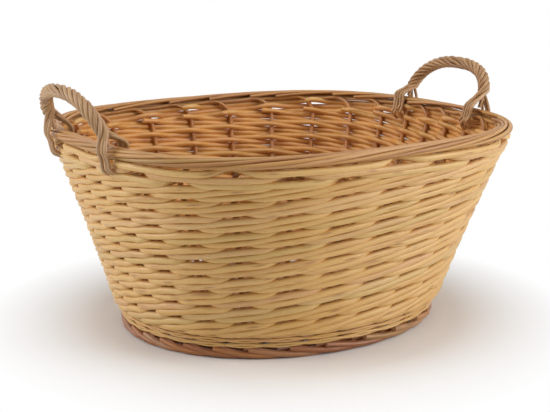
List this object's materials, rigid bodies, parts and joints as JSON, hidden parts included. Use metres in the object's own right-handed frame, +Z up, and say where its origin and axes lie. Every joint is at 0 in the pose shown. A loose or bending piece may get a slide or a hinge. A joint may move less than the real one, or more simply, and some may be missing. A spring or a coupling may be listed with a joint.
{
  "type": "wicker laundry basket",
  "caption": "Oval open-topped willow basket with flared French-randed sides, a twisted foot border, a rolled rim and a roped bow handle at each end, for carrying laundry.",
  "frame": {"origin": "middle of the basket in plan, on the ground that the foot border stands on", "axes": "+X along the oval to the handle on the right, +Y across it, +Z up out of the mouth"},
  "size_m": [0.6476, 0.54, 0.3424],
  "materials": {
    "siding_willow": "dry peeled willow, straw yellow with a soft sheen",
    "stake_willow": "dry peeled willow, warm tan",
    "foot_willow": "dry buff willow, red-brown",
    "base_willow": "dry buff willow, matt",
    "handle_willow": "dry buff willow, worn smooth by hands"
  },
  "bodies": {
    "root": {"stakes_and_rim_border": "stake_willow", "foot_border": "foot_willow", "weaver_01": "siding_willow", "weaver_02": "siding_willow", "weaver_03": "siding_willow", "weaver_04": "siding_willow", "weaver_05": "siding_willow", "weaver_06": "siding_willow", "weaver_07": "siding_willow", "weaver_08": "siding_willow", "weaver_09": "siding_willow", "weaver_10": "siding_willow", "weaver_11": "siding_willow", "weaver_12": "siding_willow", "weaver_13": "siding_willow", "weaver_14": "siding_willow", "weaver_15": "siding_willow", "weaver_16": "siding_willow", "weaver_17": "siding_willow", "weaver_18": "siding_willow", "weaver_19": "siding_willow", "weaver_20": "siding_willow", "weaver_21": "siding_willow", "weaver_22": "siding_willow", "weaver_23": "siding_willow", "weaver_24": "siding_willow", "weaver_25": "siding_willow", "weaver_26": "siding_willow", "weaver_27": "siding_willow", "weaver_28": "siding_willow", "weaver_29": "siding_willow", "weaver_30": "siding_willow", "upsett_rod_1": "siding_willow", "upsett_rod_2": "siding_willow", "upsett_rod_3": "siding_willow", "top_wale_rod_1": "siding_willow", "top_wale_rod_2": "siding_willow", "top_wale_rod_3": "siding_willow", "base_long_stick_1": "base_willow", "base_long_stick_2": "base_willow", "base_long_stick_3": "base_willow", "base_cross_stick_1": "base_willow", "base_cross_stick_2": "base_willow", "base_cross_stick_3": "base_willow", "base_cross_stick_4": "base_willow", "base_cross_stick_5": "base_willow", "base_cross_stick_6": "base_willow", "base_cross_stick_7": "base_willow", "base_weaver_1": "base_willow", "base_weaver_2": "base_willow", "handle_left_bow": "handle_willow", "handle_right_bow": "handle_willow", "handle_left_roping_1": "handle_willow", "handle_left_roping_2": "handle_willow", "handle_left_roping_3": "handle_willow", "handle_right_roping_1": "handle_willow", "handle_right_roping_2": "handle_willow", "handle_right_roping_3": "handle_willow"}
  },
  "joints": []
}
